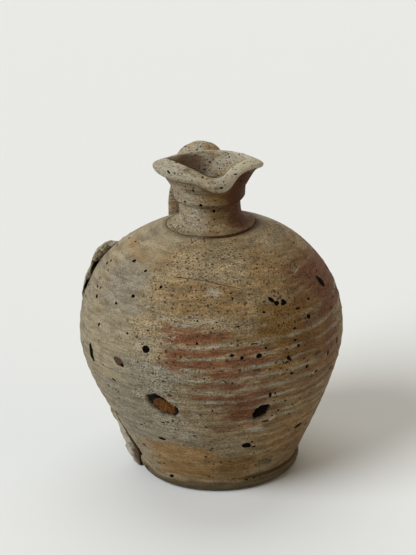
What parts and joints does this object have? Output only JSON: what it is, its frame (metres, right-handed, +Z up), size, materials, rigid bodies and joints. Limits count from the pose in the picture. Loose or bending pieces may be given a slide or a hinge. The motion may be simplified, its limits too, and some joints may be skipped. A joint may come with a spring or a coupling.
{
  "type": "stoneware jug",
  "caption": "Round-bellied, unglazed wood-fired jug with a short collared neck, a pulled pouring spout and a strap handle behind it.",
  "frame": {"origin": "the middle of the foot's flat underside, on the surface the jug stands on", "axes": "+Z up, -Y the way the spout points, +Y the handle's side"},
  "size_m": [0.2208, 0.2208, 0.2742],
  "materials": {
    "stoneware_body": "matte, ash-flashed, speckled with iron",
    "stoneware_neck": "matte, ash-flashed",
    "stoneware_handle": "matte",
    "kiln_shard": "rough and pitted",
    "clay_wad": "matte",
    "brown_ironstone": "rough",
    "black_ironstone": "melted, satin"
  },
  "bodies": {
    "root": {"body": "stoneware_body", "neck": "stoneware_neck", "handle": "stoneware_handle", "shoulder_shard": "kiln_shard", "foot_wad": "clay_wad", "ironstone_pebble_left": "brown_ironstone", "ironstone_pebble_right": "black_ironstone"}
  },
  "joints": []
}
